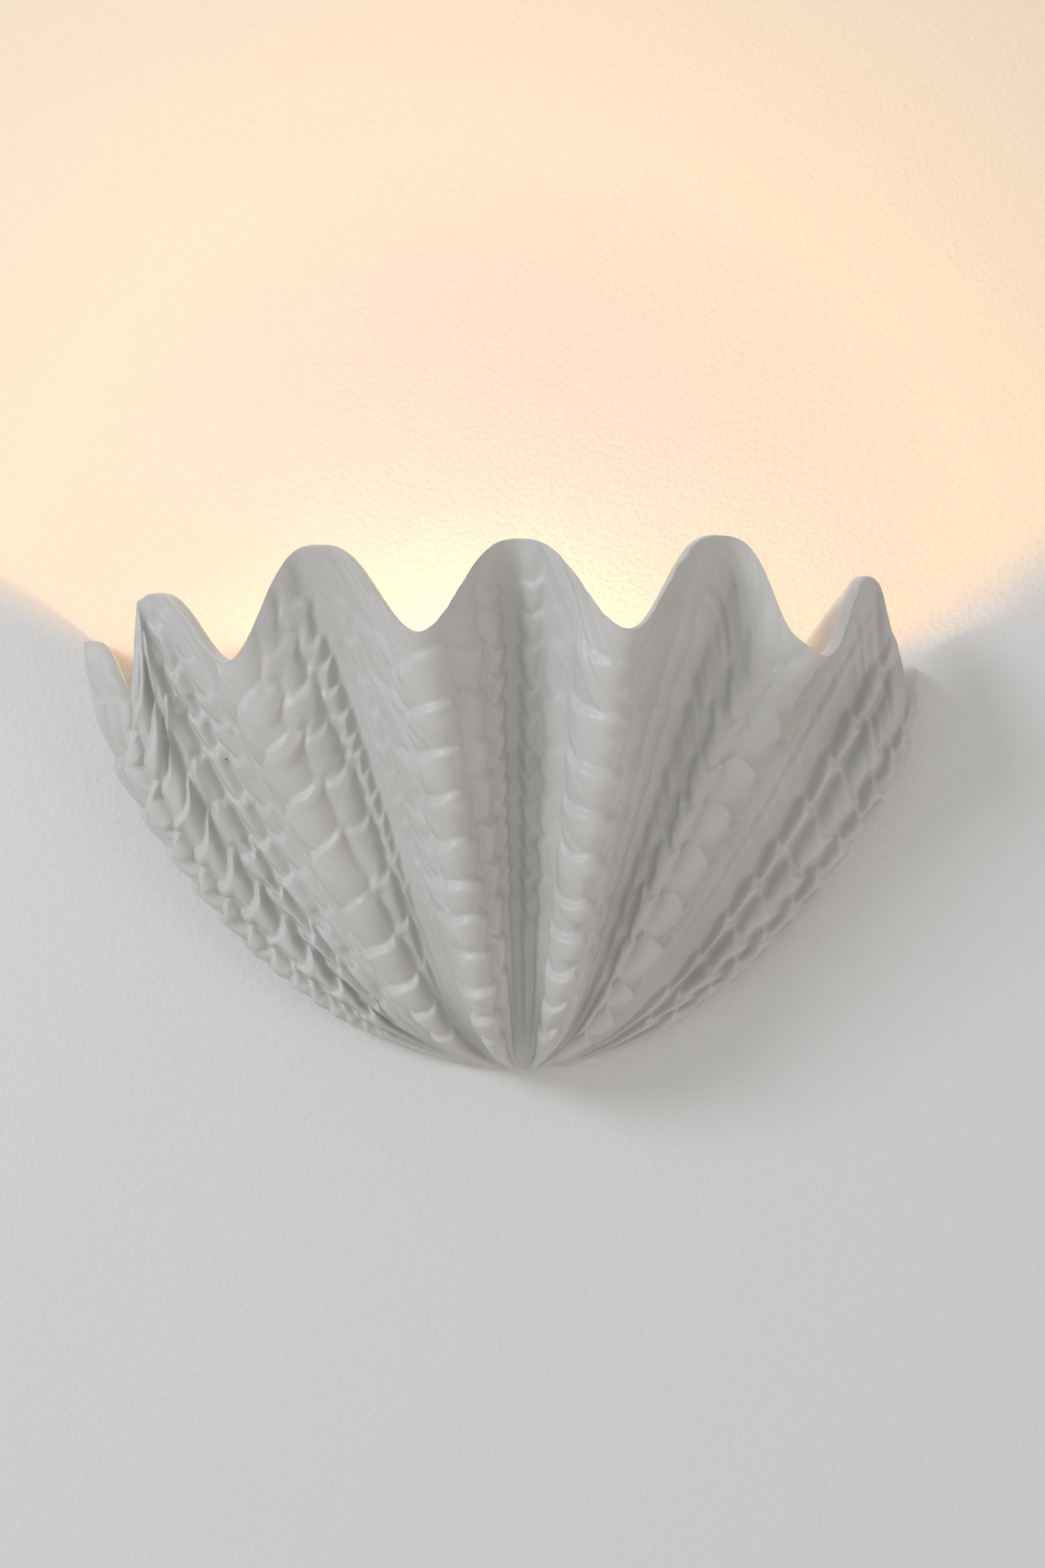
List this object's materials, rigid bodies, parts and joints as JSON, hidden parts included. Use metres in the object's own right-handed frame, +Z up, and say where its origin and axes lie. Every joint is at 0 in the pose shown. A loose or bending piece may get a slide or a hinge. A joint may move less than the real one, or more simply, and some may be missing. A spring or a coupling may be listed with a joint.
{
  "type": "wall sconce",
  "caption": "Uplight wall sconce: a folded, scalloped half-bowl like a giant clam shell, hung by keyholes over a lamp on a back plate.",
  "frame": {"origin": "middle of the mounting strap's two box slots, in the plane of the wall", "axes": "+Z up, -Y out of the wall into the room, +X to the right as seen from the room"},
  "size_m": [0.399, 0.1501, 0.241],
  "materials": {
    "cast_shell": "matt to satin, cast, off-white",
    "zinc_steel": "zinc plated, satin",
    "white_steel": "powder coat, satin",
    "brass": "plain",
    "nickel": "nickel plated",
    "holder_plastic": "moulded",
    "core_ceramic": "glazed",
    "opal_glass": "opal",
    "clear_glass": "clear",
    "black_glass": "fused bead",
    "filament": "phosphor coating, lit when in use",
    "felt": "felt",
    "rubber": "moulded",
    "block_plastic": "moulded",
    "brown_lead": "insulated wire",
    "blue_lead": "insulated wire",
    "earth_lead": "insulated wire, green and yellow"
  },
  "bodies": {
    "mount": {"mounting_strap": "zinc_steel", "back_plate": "white_steel", "plate_screws": "zinc_steel", "hook_stud_left": "zinc_steel", "hook_stud_right": "zinc_steel", "hook_stud_nuts": "zinc_steel", "lamp_bracket": "white_steel", "bracket_screws": "zinc_steel", "bracket_nuts": "zinc_steel", "holder_base": "holder_plastic", "holder_sleeve": "holder_plastic", "holder_core": "core_ceramic", "holder_core_screws": "brass", "holder_screw_shell": "brass", "holder_middle_contact": "brass", "holder_nipple": "zinc_steel", "nipple_washer": "zinc_steel", "nipple_nut_outer": "zinc_steel", "nipple_nut_inner": "zinc_steel", "terminal_block": "block_plastic", "terminal_barrels": "brass", "terminal_screws": "zinc_steel", "block_screw": "zinc_steel", "lead_live": "brown_lead", "lead_neutral": "blue_lead", "lead_grommets": "rubber", "earth_stud": "zinc_steel", "earth_nut": "zinc_steel", "earth_lugs": "nickel", "earth_lead": "earth_lead", "strap_earth_screw": "zinc_steel"},
    "shell": {"shell_shade": "cast_shell", "hanger_bar": "zinc_steel", "lug_inserts_left": "brass", "lug_inserts_right": "brass", "hanger_screws_left": "zinc_steel", "hanger_screws_right": "zinc_steel", "wall_pad_left": "felt", "wall_pad_right": "felt"},
    "bulb_tip": {"bulb_contact": "brass"},
    "bulb": {"bulb_glass": "opal_glass", "bulb_cap": "nickel", "bulb_insulator": "black_glass", "bulb_stem": "clear_glass", "bulb_supports": "nickel", "bulb_filaments": "filament"}
  },
  "joints": [
    {"name": "shell_lift", "type": "slide", "parent": "mount", "child": "shell", "axis": [0, 0, 1], "range_m": [0, 0.006]},
    {"name": "bulb_rise", "type": "slide", "parent": "mount", "child": "bulb_tip", "axis": [0, 0, 1], "range_m": [0, 0.0085]},
    {"name": "bulb_turn", "type": "hinge", "parent": "bulb_tip", "child": "bulb", "pos_m": [0, -0.0409, 0], "axis": [0, 0, 1], "range_deg": [0, 1080]}
  ],
  "couplings": [
    {"joint": "bulb_rise", "follows": "bulb_turn", "m_per_rad": 0.00044913}
  ]
}
